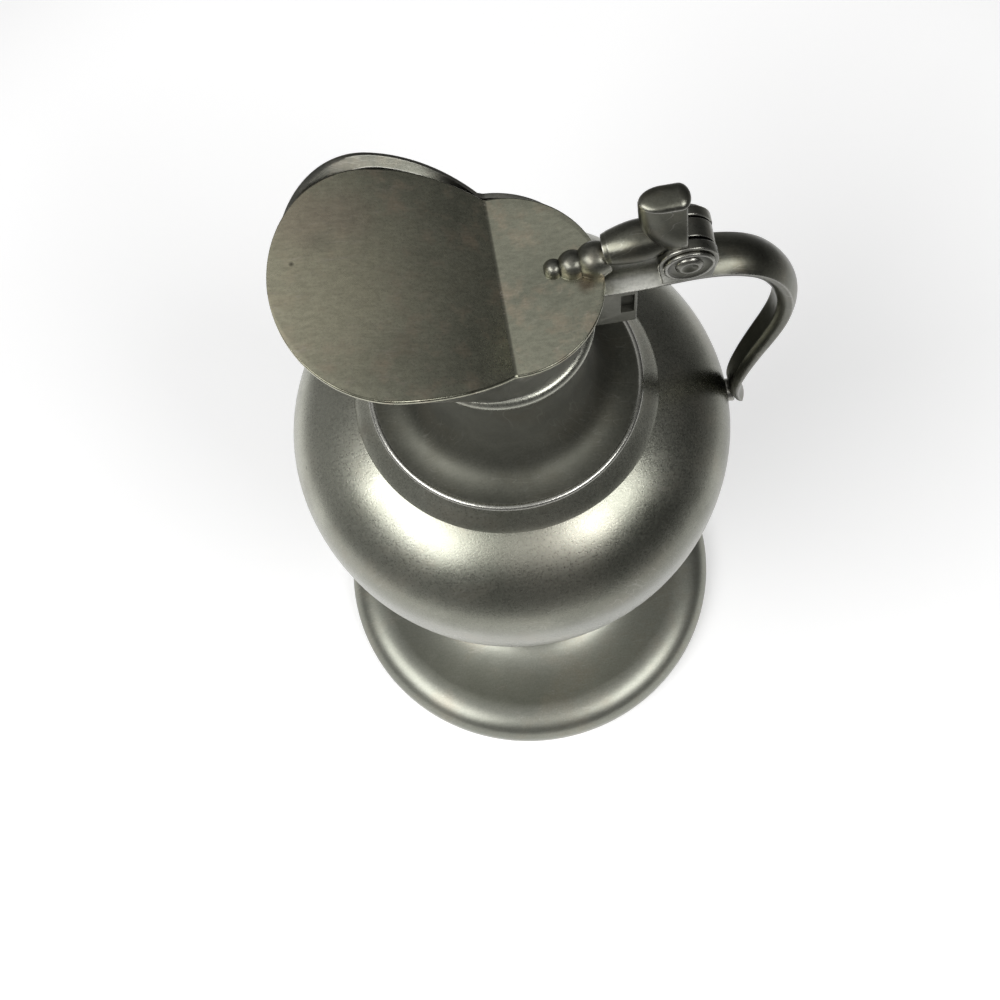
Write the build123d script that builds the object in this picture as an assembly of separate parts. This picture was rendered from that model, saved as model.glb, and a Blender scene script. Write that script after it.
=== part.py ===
from build123d import *
import math
import os

# Pewter pitcher with a hinged lid.
# Millimetres, +Z up, origin at the centre of the foot on the table.
# The handle points along +X and the beak along -X.

# foot
foot_radius = 57.5
foot_edge_height = 2.6
foot_roll_width = 6.0
foot_roll_height = 5.6
foot_roll_lean = 0.28
foot_roll_swell = 0.66
foot_sweep_in = 0.38
foot_sweep_height = 0.3
foot_sweep_sink = 0.4
foot_top_radius = 18.4
foot_height = 52.0
foot_hollow = 0.5
foot_least_edge = 0.4
cast_wall = 2.4

# collar between foot and body
collar_step = 4.0
collar_bulge = 2.2
collar_height = 8.0
collar_lap = 6.55
collar_radius = foot_top_radius + collar_step

# body, built up from the collar
belly_radius = 56.9
belly_depth_below = 65.5
belly_rise_above = 32.6
body_mouth_radius = 31.0
bowl_depth = 24.0
flank_depth = 14.0
oval_points = 7
shoulder_fullness = 0.93
belly_height = foot_height + collar_height + belly_depth_below
bowl_height = foot_height + collar_height + bowl_depth
flank_height = bowl_height + flank_depth

# ring on the shoulder
ring_crest_step = 2.2
ring_width = 4.8
ring_edge_height = 1.9
ring_seat_depth = 1.0
ring_lip_step = 0.9
ring_cove_in = 0.7
ring_cove_up = 1.6
ring_crest_bead = 0.8
ring_crest_swell = 0.3
ring_crest_drop = 1.2
ring_crest_radius = body_mouth_radius + ring_crest_step
ring_radius = ring_crest_radius + ring_width
ring_crest_height = belly_height + belly_rise_above - ring_crest_drop

# neck and its bead
neck_wall = 1.9
neck_radius = 20.6
neck_rim_step = 1.8
neck_waist_rise = 29.1
neck_cove_in = 1.8
neck_cove_up = 1.0
neck_cove_rise = 8.1
bead_rise = 5.4
bead_half_height = 2.1
bead_reach = 1.7
neck_rim_radius = neck_radius + neck_rim_step
neck_waist_height = ring_crest_height + neck_waist_rise
bead_height = neck_waist_height + bead_rise

# lid plate
mouth_height = 20.1
lid_thickness = 1.4
lid_rim_gap = 0.3
lid_rear_step = 0.8
lid_rear_shift = 2.5
kink_x = 1.2
kink_angle = 32.0
kink_ease = 0.298
shield_centre = 22.7
shield_half_width = 27.8
shield_front = 24.2
lid_turned_aside = 0.6
lid_set_aside = 1.5
lid_top = bead_height + mouth_height
lid_rear_radius = neck_rim_radius - lid_rear_step
lid_reach = kink_x + shield_centre + shield_front
trim_room = 80.0

# beak
beak_wall = 2.1
beak_over_side = 2.2
beak_over_tip = -1.8
beak_set_aside = 1.3
beak_base_over = 0.5
beak_bulge = 0.35
beak_spare = 4.0
beak_slices = 6
beak_rays = 12
beak_start = bead_height + 0.05 * bead_half_height

# hinge
hinge_reach = 19.6
hinge_rise = 2.8
hinge_radius = 6.7
hinge_width = 10.8
ear_thickness = 2.6
ear_foot_back = 5.6
ear_foot_front = 5.6
ear_foot_drop = 7.9
knuckle_radius = 6.5
knuckle_width = 4.6
knuckle_side_gap = 0.35
pin_radius = 2.0
pin_turning_gap = 0.05
washer_radius = 5.7
washer_rim = 0.9
washer_thickness = 0.9
washer_floor = 0.35
head_radius = 3.1
head_thickness = 0.8
dimple_radius = 2.0
dimple_depth = 0.6
strap_turning_gap = 0.5
hinge_x = neck_rim_radius + hinge_reach
hinge_z = lid_top + hinge_rise

# handle strap: upper knots from the hinge line and the lid top, lower knots from the belly
handle_upper_knots = ((-22, -6.5), (-8, -6.5), (5, -5.7), (16.4, -9.9), (23.4, -20.5), (25.3, -35.5))
handle_lower_knots = ((6.5, 32.5), (2.5, 15.5), (2.1, 3.5), (4.1, -2.3))
strap_width_top = 10.6
strap_width_end = 7.0
strap_full_width_share = 0.3
strap_thickness = ((0, 4.2), (0.12, 4.4), (0.22, 5.8), (0.36, 6.0), (0.5, 5.2), (0.85, 3.8), (1, 2.6))
strap_flat_share = 0.58
strap_shoulder_share = 0.12
strap_corner_out = 0.75
strap_corner_up = 0.3
strap_stations = 15

# bracket under the handle
bracket_length = 10.8
bracket_half_width = 4.4
bracket_height = 15.0
bracket_drop = 7.9
bracket_root = 2.0
bracket_corner = 0.6
pocket_width = 3.0
pocket_height = 8.5
pocket_depth = 1.6
pocket_edge = 0.8
pocket_drop = 1.8
bracket_reach = neck_radius + bracket_length
bracket_top = lid_top - bracket_drop
bracket_bottom = bracket_top - bracket_height

# pad at the foot of the handle
pad_radius = 3.0
pad_rise = 0.5
pad_depth = 8.0
pad_reach = 1.6
pad_height = belly_height + pad_rise

# lid arm, strap and thumb knob
strap_inset = 12.7
strap_groove_radii = (1.7, 2.7, 3.5)
strap_crest_radii = (2.2, 3.2, 4.0)
strap_lobe_lengths = (3.4, 4.6, 5.4)
strap_crest_share = 0.6
strap_slope = 9.0
arm_slope = 13.0
arm_length = 13.5
arm_start = 1.2
arm_lift = 2.6
arm_aside = 0.4
arm_bulb_share = 0.45
arm_bulb_radius = 4.7
arm_root_radius = 3.9
arm_waist_share = 0.84
arm_waist_radius = 4.3
arm_end_radius = 4.3
knob_back = 0.4
knob_aside = 0.4
knob_slices = ((4.7, 0.3, 6.4, 4.9), (8.2, 0.4, 8.6, 5.5), (13.6, 3.6, 9.8, 4.1), (19.4, 6.0, 10.1, 2.6))
cap_length = 11.0
cap_width = 6.4
cap_straight = 3.6
cap_back_swell = 2.3
cap_overhang = 1.0
cap_height = 2.1
cap_layers = 5
stem_front = 5.0
stem_low = 3.0
strap_tip_x = lid_rear_shift + lid_rear_radius - strap_inset
knob_back_x = hinge_x - knob_back


def turned(lines):
    """Solid of revolution about Z from a closed outline of radius and height."""
    return revolve(Plane.XZ * make_face(lines), Axis.Z)


def block(x_low, x_high, half_width, z_low, z_high):
    middle = Pos((x_low + x_high) / 2, 0, (z_low + z_high) / 2)
    return middle * Box(x_high - x_low, 2 * half_width, z_high - z_low)


def belly_at(radius):
    """Height of the outer shoulder surface at a radius."""
    angle = math.acos((radius / belly_radius) ** (1 / shoulder_fullness))
    return belly_height + belly_rise_above * math.sin(angle) ** shoulder_fullness


# foot


def bell(inset):
    """Solid bell bounded by the foot surface moved inward by the inset."""
    edge = foot_radius - inset
    roll_r = edge - foot_roll_width
    roll_z = foot_edge_height + foot_roll_height - inset
    edge_z = max(foot_edge_height - inset * foot_hollow, foot_least_edge)
    top_r = foot_top_radius - inset
    outer = Line((edge, 0), (edge, edge_z))
    roll_mid = (edge - foot_roll_lean * foot_roll_width, edge_z + foot_roll_swell * (roll_z - edge_z))
    roll = ThreePointArc((edge, edge_z), roll_mid, (roll_r, roll_z))
    sweep_mid_r = top_r + foot_sweep_in * (roll_r - top_r)
    sweep_mid = (sweep_mid_r, foot_sweep_height * foot_height - foot_sweep_sink * inset)
    trumpet = ThreePointArc((roll_r, roll_z), sweep_mid, (top_r, foot_height))
    top = Line((top_r, foot_height), (0, foot_height))
    axis = Line((0, foot_height), (0, 0))
    base = Line((0, 0), (edge, 0))
    return turned([outer, roll, trumpet, top, axis, base])


def make_foot():
    return bell(0) - bell(cast_wall)


# body


def quarter_oval(radius, rise, fullness):
    """Quarter of an oval from the belly line to the axis, a negative rise goes down."""
    points = [(radius, belly_height)]
    for k in range(1, oval_points - 1):
        angle = math.radians(90 * k / (oval_points - 1))
        r = radius * math.cos(angle) ** fullness
        points.append((r, belly_height + rise * math.sin(angle) ** fullness))
    points.append((0, belly_height + rise))
    return Spline(points, tangents=[(0, rise), (-1, 0)])


def egg(inset):
    """Solid body outline, flatter above the belly line and deep below it."""
    r = belly_radius - inset
    low = belly_depth_below - inset
    high = belly_rise_above - inset
    axis = Line((0, belly_height + high), (0, belly_height - low))
    return turned([quarter_oval(r, -low, 1.0), quarter_oval(r, high, shoulder_fullness), axis])


def body_band(low, high):
    """Part of the body shell between two heights."""
    everything = 2 * belly_radius
    return (egg(0) - egg(cast_wall)) & block(-everything, everything, everything, low, high)


def make_body_upper():
    mouth = Pos(0, 0, 1.25 * belly_height) * Cylinder(body_mouth_radius, belly_height / 2)
    return body_band(belly_height, 2 * belly_height) - mouth


def make_stem_collar():
    """Turned ring that carries the body on the foot."""
    bore = foot_top_radius - cast_wall
    top = foot_height + collar_height + collar_lap
    middle = (foot_height + top) / 2
    lines = [
        Line((bore, foot_height), (foot_top_radius, foot_height)),
        ThreePointArc(
            (foot_top_radius, foot_height),
            (collar_radius, middle - collar_bulge / 4),
            (foot_top_radius + collar_bulge, top),
        ),
        Line((foot_top_radius + collar_bulge, top), (bore, top)),
        Line((bore, top), (bore, foot_height)),
    ]
    return turned(lines) - egg(0)


def make_shoulder_ring():
    """Step moulding with a cove and a fine bright crest."""
    seat = belly_at(ring_radius) - ring_seat_depth
    lip = belly_at(ring_radius) + ring_edge_height / 2
    shelf = lip + ring_edge_height / 2
    lip_radius = ring_radius - ring_lip_step
    foot_of_crest = ring_crest_radius + ring_crest_bead
    crest_low = ring_crest_height - ring_crest_bead
    lines = [
        Line((body_mouth_radius, seat), (ring_radius, seat)),
        Line((ring_radius, seat), (ring_radius, lip)),
        Line((ring_radius, lip), (lip_radius, shelf)),
        ThreePointArc(
            (lip_radius, shelf),
            (foot_of_crest + ring_cove_in, shelf + ring_cove_up),
            (foot_of_crest, crest_low),
        ),
        ThreePointArc(
            (foot_of_crest, crest_low),
            (ring_crest_radius + ring_crest_swell, ring_crest_height + ring_crest_swell / 2),
            (ring_crest_radius - ring_crest_bead, ring_crest_height),
        ),
        Line(
            (ring_crest_radius - ring_crest_bead, ring_crest_height),
            (body_mouth_radius, ring_crest_height),
        ),
        Line((body_mouth_radius, ring_crest_height), (body_mouth_radius, seat)),
    ]
    return turned(lines) - egg(0)


# neck and beak


def neck_flare(height):
    """Outer radius of the neck above the bead, where it widens to the rim."""
    share = (height - beak_start) / (lid_top - beak_start)
    return neck_radius + (neck_rim_radius - neck_radius) * max(share, 0)


def neck_form(inset):
    """Solid neck: a tenon in the body, a cove, a waist and a slightly flared top."""
    tenon = body_mouth_radius - inset
    tenon_low = belly_at(body_mouth_radius) - cast_wall
    cove_low = ring_crest_radius - ring_crest_bead - 1.5 * inset
    crest = ring_crest_height - inset / 2
    waist = neck_radius - inset
    rim_z = lid_top + trim_room / 2
    rim_r = neck_flare(rim_z) - inset
    cove = Bezier(
        (cove_low, crest),
        (waist + neck_cove_in, crest + neck_cove_up),
        (waist, ring_crest_height + neck_cove_rise),
        (waist, neck_waist_height),
    )
    lines = [
        Line((0, tenon_low), (tenon, tenon_low)),
        Line((tenon, tenon_low), (tenon, crest)),
        Line((tenon, crest), (cove_low, crest)),
        cove,
        Line((waist, neck_waist_height), (waist, beak_start)),
        Line((waist, beak_start), (rim_r, rim_z)),
        Line((rim_r, rim_z), (0, rim_z)),
        Line((0, rim_z), (0, tenon_low)),
    ]
    return turned(lines)


def lid_rise(distance):
    """Height gained by the front of the lid at a distance in front of the kink."""
    return math.tan(math.radians(kink_angle)) * distance - kink_ease * distance**2 / lid_reach


def sheet_edge(height, reach):
    """Side view of the bent lid surface, from the rear to a reach in front of the kink."""
    half_way = math.tan(math.radians(kink_angle)) * reach / 2
    rear = Line((hinge_x, height), (kink_x, height))
    front = Bezier(
        (kink_x, height),
        (kink_x - reach / 2, height + half_way),
        (kink_x - reach, height + lid_rise(reach)),
    )
    return rear, front


def slab(low, high):
    """Bent slab between two heights of the lid surface, wide enough to trim by."""
    reach = trim_room
    rear_low, front_low = sheet_edge(low, reach)
    rear_high, front_high = sheet_edge(high, reach)
    closing = [
        Line((hinge_x, low), (hinge_x, high)),
        Line((kink_x - reach, low + lid_rise(reach)), (kink_x - reach, high + lid_rise(reach))),
    ]
    side = make_face([rear_low, front_low, rear_high, front_high] + closing)
    return extrude(Plane.XZ * side, trim_room, both=True)


def set_aside(shape):
    """Move the lid plate a little to the near side: it is soldered on off centre."""
    return Pos(hinge_x, -lid_set_aside, 0) * Rot(0, 0, lid_turned_aside) * Pos(-hinge_x, 0, 0) * shape


def above_rim():
    return set_aside(slab(lid_top - lid_thickness - lid_rim_gap, lid_top + trim_room))


def beak_rim_radius(angle):
    """Plan radius of the beak rim from the neck axis, angle measured from the beak tip."""
    side = shield_half_width + beak_over_side
    front = shield_front + beak_over_tip
    back = shield_centre / math.sqrt(1 - (neck_rim_radius / side) ** 2)
    c = math.cos(angle)
    s = math.sin(angle)
    for length in (back, front):
        a = (c / length) ** 2 + (s / side) ** 2
        b = -2 * shield_centre * c / length**2
        d = (shield_centre / length) ** 2 - 1
        radius = (-b + math.sqrt(b * b - 4 * a * d)) / (2 * a)
        if radius * c <= shield_centre:
            return radius
    return radius


def beak_radius(angle, height):
    """Plan radius of the beak wall at a height: it grows from the neck to the rim."""
    rim = beak_rim_radius(angle)
    ahead = max(kink_x + rim * math.cos(angle), 0)
    rim_height = lid_top - lid_thickness - lid_rim_gap + lid_rise(ahead)
    share = (height - beak_start) / (rim_height - beak_start)
    swell = beak_bulge * share * (1 - share) * math.cos(angle)
    base = neck_radius + beak_base_over
    return base + (rim - base) * (share + swell)


def beak_form(inset):
    """Solid front half of the mouth, lofted through level slices."""
    top = lid_top + lid_rise(shield_centre + shield_front) + beak_spare
    slices = []
    for i in range(beak_slices):
        height = beak_start + (top - beak_start) * i / (beak_slices - 1)
        points = []
        for k in range(beak_rays + 1):
            angle = math.radians(-90 + 180 * k / beak_rays)
            radius = beak_radius(angle, height) - inset
            aside = beak_set_aside * math.cos(angle) * i / (beak_slices - 1)
            points.append((-radius * math.cos(angle), radius * math.sin(angle) + aside))
        rim = Spline(points)
        closing = Line(points[-1], points[0])
        slices.append(Pos(0, 0, height) * make_face([rim, closing]))
    return loft(slices)


def make_beak():
    return beak_form(0) - beak_form(beak_wall) - above_rim()


def make_neck():
    shell = neck_form(0) - neck_form(neck_wall)
    front = block(-belly_radius, 0, belly_radius, beak_start, lid_top + trim_room)
    return shell - front - above_rim()


def make_neck_bead(beak_solid):
    low = bead_height - bead_half_height
    high = bead_height + bead_half_height
    lines = [
        Line((neck_radius, low), (neck_radius, beak_start)),
        Line((neck_radius, beak_start), (neck_flare(high), high)),
        ThreePointArc((neck_flare(high), high), (neck_radius + bead_reach, bead_height), (neck_radius, low)),
    ]
    return turned(lines) - beak_solid


# handle


def handle_path():
    upper = [(hinge_x + x, 0, lid_top + z) for x, z in handle_upper_knots]
    lower = [(belly_radius + x, 0, belly_height + z) for x, z in handle_lower_knots]
    return Spline(upper + lower)


def eased(share, stations):
    """Value between the nearest two stations, each a pair of share and value."""
    for (s0, v0), (s1, v1) in zip(stations, stations[1:]):
        if share <= s1:
            return v0 + (v1 - v0) * (share - s0) / (s1 - s0)
    return stations[-1][1]


def strap_section(share):
    """Cross-section of the handle strap: flat inside, domed outside."""
    full = (strap_full_width_share, strap_width_top)
    width = eased(share, ((0, strap_width_top), full, (1, strap_width_end)))
    thick = eased(share, strap_thickness)
    flat = strap_flat_share * width / 2
    half = width / 2
    low = -thick / 2
    high = thick / 2
    shoulder = strap_shoulder_share * thick
    corner = flat + strap_corner_out * (half - flat)
    corner_z = low + strap_corner_up * thick
    lines = [
        Line((-flat, low), (flat, low)),
        ThreePointArc((flat, low), (corner, corner_z), (half, shoulder)),
        ThreePointArc((half, shoulder), (0, high), (-half, shoulder)),
        ThreePointArc((-half, shoulder), (-corner, corner_z), (-flat, low)),
    ]
    return make_face(lines)


def handle_form():
    path = handle_path()
    sections = []
    for i in range(strap_stations):
        share = i / (strap_stations - 1)
        plane = Plane(origin=path @ share, x_dir=(0, 1, 0), z_dir=path % share)
        sections.append(plane * strap_section(share))
    return loft(sections)


def hinge_place():
    return Pos(hinge_x, 0, hinge_z) * Rot(90, 0, 0)


def make_handle():
    knuckle_space = hinge_place() * Cylinder(knuckle_radius + strap_turning_gap, hinge_width + 2)
    return handle_form() - neck_form(0) - egg(0) - knuckle_space


def make_handle_bracket(neck_solid, bead_solid, handle_solid):
    """Block between neck and handle with a shallow pocket in each side."""
    shape = block(neck_radius - bracket_root, bracket_reach, bracket_half_width, bracket_bottom, bracket_top)
    shape = fillet(shape.edges().filter_by(Axis.Z), bracket_corner)
    pocket_x = bracket_reach - pocket_edge - pocket_width / 2
    for side in (-1, 1):
        y = side * bracket_half_width
        z = bracket_top - pocket_drop - pocket_height / 2
        shape = shape - Pos(pocket_x, y, z) * Box(pocket_width, 2 * pocket_depth, pocket_height)
    return shape - neck_form(0) - bead_solid - handle_solid


def make_handle_pad(handle_solid):
    """Solder pad between the handle end and the belly."""
    start = belly_radius - pad_depth / 2
    room = 2 * pad_depth
    pad = Pos(belly_radius, 0, pad_height) * Rot(0, 90, 0) * Cylinder(pad_radius, pad_depth)
    outside = block(start, belly_radius + pad_reach, room, pad_height - room, pad_height + room)
    return (pad & outside) - egg(0) - handle_solid


# hinge


def ear_outline():
    low = Line(
        (hinge_x - ear_foot_front, hinge_z - ear_foot_drop),
        (hinge_x + ear_foot_back, hinge_z - ear_foot_drop),
    )
    eye = CenterArc((hinge_x, hinge_z), hinge_radius, 0, 360)
    return make_hull([low, eye])


def make_hinge_ear(side, handle_solid):
    """One of the two upright ears, side -1 is the near one."""
    middle = side * (hinge_width - ear_thickness) / 2
    plate = Pos(0, middle, 0) * extrude(Plane.XZ * ear_outline(), ear_thickness / 2, both=True)
    bore = hinge_place() * Cylinder(pin_radius, 3 * hinge_width)
    return plate - bore - handle_solid


def make_hinge_pin():
    """Pin through both ears with riveted heads, each dimpled by the punch."""
    seat = hinge_width / 2 + washer_floor
    end = seat + head_thickness
    lines = [
        Line((0, 0), (pin_radius, 0)),
        Line((pin_radius, 0), (pin_radius, seat)),
        Line((pin_radius, seat), (head_radius, seat)),
        Line((head_radius, seat), (dimple_radius, end)),
        Line((dimple_radius, end), (0, end - dimple_depth)),
        Line((0, end - dimple_depth), (0, 0)),
    ]
    half = turned(lines)
    return hinge_place() * (half + mirror(half, Plane.XY))


def make_pin_washer(side):
    """Dished ring round the pin head on the outer face of an ear."""
    start = hinge_width / 2
    floor = start + washer_floor
    rim = start + washer_thickness
    lines = [
        Line((pin_radius, start), (washer_radius, start)),
        Line((washer_radius, start), (washer_radius, rim - washer_floor)),
        ThreePointArc(
            (washer_radius, rim - washer_floor),
            (washer_radius - washer_rim / 2, rim),
            (washer_radius - washer_rim, rim - washer_floor / 2),
        ),
        Line((washer_radius - washer_rim, rim - washer_floor / 2), (head_radius + washer_floor, floor)),
        Line((head_radius + washer_floor, floor), (pin_radius, floor)),
        Line((pin_radius, floor), (pin_radius, start)),
    ]
    washer = turned(lines)
    return hinge_place() * (washer if side < 0 else mirror(washer, Plane.XY))


# lid


def lid_outline():
    """Plan of the lid: a round rear lobe and a wider shield over the beak."""
    rear_half = math.sqrt(lid_rear_radius**2 - (kink_x - lid_rear_shift) ** 2)
    rear = ThreePointArc(
        (kink_x, rear_half),
        (lid_rear_shift + lid_rear_radius, 0),
        (kink_x, -rear_half),
    )
    back_share = math.sqrt(1 - (rear_half / shield_half_width) ** 2)
    back_length = (shield_centre + kink_x) / back_share
    turn = math.degrees(math.acos(back_share))
    centre = (-shield_centre, 0)
    near = EllipticalCenterArc(centre, back_length, shield_half_width, -90, arc_size=90 - turn)
    front = EllipticalCenterArc(centre, shield_front, shield_half_width, 90, arc_size=180)
    far = EllipticalCenterArc(centre, back_length, shield_half_width, turn, arc_size=90 - turn)
    return make_face([rear, near, front, far])


def make_lid_plate():
    prism = Pos(0, 0, bead_height) * extrude(lid_outline(), trim_room)
    return set_aside(prism & slab(lid_top - lid_thickness, lid_top))


def make_lid_strap():
    """Rat-tail strap on the lid: three drop-shaped lobes growing and climbing toward the hinge."""
    x = 0.0
    start = 0.0
    arcs = []
    for crest, groove, length in zip(strap_crest_radii, strap_groove_radii, strap_lobe_lengths):
        crest_x = x + strap_crest_share * length
        arcs.append(ThreePointArc((x, start), (crest_x, crest), (x + length, groove)))
        x = x + length
        start = groove
    arcs.append(Line((x, start), (x, 0)))
    arcs.append(Line((x, 0), (0, 0)))
    body = revolve(Plane.XZ * make_face(arcs), Axis.X)
    body = Pos(strap_tip_x, 0, lid_top) * Rot(0, -strap_slope, 0) * body
    upper = block(0, hinge_x, hinge_width, lid_top, lid_top + hinge_width)
    return body & upper


def strap_end():
    """Where the strap's centre line meets the arm."""
    length = sum(strap_lobe_lengths)
    rise = math.radians(strap_slope)
    return strap_tip_x + length * math.cos(rise), lid_top + length * math.sin(rise)


def make_lid_arm(lid_plate, lid_strap, knuckle):
    """Swelling arm that climbs from the lid strap to the hinge knuckle."""
    bulb_x = arm_bulb_share * arm_length
    waist_x = arm_waist_share * arm_length
    groove = strap_groove_radii[-1]
    lines = [
        Line((-arm_start, 0), (-arm_start, groove)),
        Line((-arm_start, groove), (0, arm_root_radius)),
        Spline(
            (0, arm_root_radius),
            (bulb_x, arm_bulb_radius),
            (waist_x, arm_waist_radius),
            (arm_length, arm_end_radius),
            tangents=[(1, 0.9), (1, 0.2)],
        ),
        Line((arm_length, arm_end_radius), (arm_length, 0)),
        Line((arm_length, 0), (-arm_start, 0)),
    ]
    x, z = strap_end()
    body = revolve(Plane.XZ * make_face(lines), Axis.X)
    body = Pos(x + arm_start, arm_aside, z + arm_lift) * Rot(0, -arm_slope, 0) * body
    return body - lid_plate - lid_strap - knuckle - ear_space()


def ear_space():
    """Room kept free for the ears as the lid turns."""
    room = hinge_place() * Cylinder(hinge_radius + lid_rim_gap, 2 * hinge_width)
    middle = knuckle_middle()
    keep = block(0, 2 * hinge_x, knuckle_width / 2, 0, 2 * hinge_z)
    return room - Pos(0, middle, 0) * keep


def knuckle_middle():
    """The knuckle leans on the far ear, so it sits off centre by the spare room."""
    inner = hinge_width / 2 - ear_thickness
    return inner - knuckle_side_gap - knuckle_width / 2


def make_lid_knuckle():
    barrel = hinge_place() * Cylinder(knuckle_radius, knuckle_width)
    bore = hinge_place() * Cylinder(pin_radius + pin_turning_gap, 3 * hinge_width)
    return Pos(0, knuckle_middle(), 0) * barrel - bore


def knob_section(height, straight, length, half, back):
    """Level slice of the thumb knob: straight sides, an oval nose and a flat or swelling back."""
    nose = EllipticalCenterArc((-straight, 0), length - straight, half, 90, arc_size=180)
    near = Line((-straight, -half), (0, -half))
    far = Line((0, half), (-straight, half))
    if back > 0:
        rear = EllipticalCenterArc((0, 0), back, half, -90, arc_size=180)
    else:
        rear = Line((0, -half), (0, half))
    return Pos(knob_back_x, knob_aside, hinge_z + height) * make_face([nose, near, rear, far])


def knob_cap():
    """Pillow-shaped cap of the thumb knob in level layers that shrink upward."""
    layers = []
    base = knob_slices[-1][0]
    for k in range(cap_layers):
        angle = math.radians(80 * k / (cap_layers - 1))
        size = math.cos(angle)
        centre = (cap_straight - cap_back_swell) / 2
        layer = knob_section(
            base + cap_height * math.sin(angle),
            cap_straight * size,
            cap_length * size - cap_back_swell * size,
            cap_width / 2 * size,
            cap_back_swell * size,
        )
        shift = centre * (size - 1) + cap_overhang - cap_back_swell
        layers.append(Pos(shift, 0, 0) * layer)
    return loft(layers)


def make_thumbpiece(knuckle, arm):
    """Thumb knob: a wedge with a flat back and an oval nose under a pillow-shaped cap."""
    slices = [knob_section(*level, 0) for level in knob_slices]
    stem_top = hinge_z + knob_slices[1][0]
    stem = block(knob_back_x - stem_front, knob_back_x, knuckle_width / 2, hinge_z + stem_low, stem_top)
    body = loft(slices) + Pos(0, knuckle_middle(), 0) * stem
    return (body + knob_cap()) - knuckle - arm - ear_space()


def build_pitcher():
    beak = make_beak()
    neck = make_neck()
    bead = make_neck_bead(beak_form(0))
    handle = make_handle()
    lid_plate = make_lid_plate()
    lid_knuckle = make_lid_knuckle()
    lid_strap = make_lid_strap()
    lid_arm = make_lid_arm(lid_plate, lid_strap, lid_knuckle)
    return {
        "foot": make_foot(),
        "stem_collar": make_stem_collar(),
        "body_bowl": body_band(0, bowl_height),
        "body_flank": body_band(bowl_height, flank_height),
        "body_lower": body_band(flank_height, belly_height),
        "body_upper": make_body_upper(),
        "shoulder_ring": make_shoulder_ring(),
        "neck": neck,
        "neck_bead": bead,
        "beak": beak,
        "handle": handle,
        "handle_bracket": make_handle_bracket(neck, bead, handle),
        "handle_pad": make_handle_pad(handle),
        "hinge_ear_near": make_hinge_ear(-1, handle),
        "hinge_ear_far": make_hinge_ear(1, handle),
        "hinge_pin": make_hinge_pin(),
        "pin_washer_near": make_pin_washer(-1),
        "pin_washer_far": make_pin_washer(1),
        "lid_plate": lid_plate,
        "lid_strap": lid_strap,
        "lid_arm": lid_arm,
        "lid_knuckle": lid_knuckle,
        "thumbpiece": make_thumbpiece(lid_knuckle, lid_arm),
    }


os.makedirs("parts", exist_ok=True)
for name, shape in build_pitcher().items():
    export_step(shape, f"parts/{name}.step")
    print(name, round(shape.volume, 1), len(shape.solids()))
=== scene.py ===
import bpy
import bmesh
import math
import numpy as np
from mathutils import Matrix, Vector


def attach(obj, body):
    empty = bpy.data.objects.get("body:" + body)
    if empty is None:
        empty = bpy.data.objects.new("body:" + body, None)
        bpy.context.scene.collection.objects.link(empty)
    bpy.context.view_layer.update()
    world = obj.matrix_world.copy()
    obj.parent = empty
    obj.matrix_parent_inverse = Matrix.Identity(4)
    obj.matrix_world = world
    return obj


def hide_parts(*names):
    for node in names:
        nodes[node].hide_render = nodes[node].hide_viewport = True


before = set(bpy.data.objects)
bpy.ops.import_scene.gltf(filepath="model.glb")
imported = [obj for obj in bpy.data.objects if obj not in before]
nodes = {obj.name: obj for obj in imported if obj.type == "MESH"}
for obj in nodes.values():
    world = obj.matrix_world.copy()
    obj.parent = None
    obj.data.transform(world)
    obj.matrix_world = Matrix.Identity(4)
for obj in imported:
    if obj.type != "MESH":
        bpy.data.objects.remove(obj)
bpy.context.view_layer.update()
mm = 0.001
print("frame loaded,", len(nodes), "nodes")


def newObject(name, data):
    thing = bpy.data.objects.new(name, data)
    bpy.context.scene.collection.objects.link(thing)
    return thing


# one mesh from a grid of points in millimetres, rows by columns by xyz, with quads between neighbours
# the columns close on themselves, wrapRows joins the last row to the first, caps close both end rows
def gridMesh(name, points, wrapRows=False, caps=False):
    rows, cols = points.shape[:2]
    flat = points.reshape(-1, 3)
    index = np.arange(rows * cols).reshape(rows, cols)
    index = np.hstack([index, index[:, :1]])
    ends = []
    if caps:
        flat = np.vstack([flat, points[0].mean(0), points[-1].mean(0)])
        tip = np.full(cols, rows * cols)
        ends = np.stack([tip, index[0, :-1], index[0, 1:]], axis=1).tolist()
        ends += np.stack([tip + 1, index[-1, 1:], index[-1, :-1]], axis=1).tolist()
    if wrapRows:
        index = np.vstack([index, index[:1]])
    quads = np.stack([index[:-1, :-1], index[1:, :-1], index[1:, 1:], index[:-1, 1:]], axis=-1).reshape(-1, 4)
    mesh = bpy.data.meshes.new(name)
    mesh.from_pydata(flat * mm, [], quads.tolist() + ends)
    mesh.calc_loop_triangles()
    corners = np.empty(len(mesh.loop_triangles) * 3, dtype=np.int32)
    mesh.loop_triangles.foreach_get("vertices", corners)
    a, b, c = flat[corners.reshape(-1, 3)].transpose(1, 0, 2)
    if np.einsum("ij,ij->", a, np.cross(b, c)) < 0:  # a negative volume means that the faces point inwards
        mesh.flip_normals()
    return newObject(name, mesh)


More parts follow.
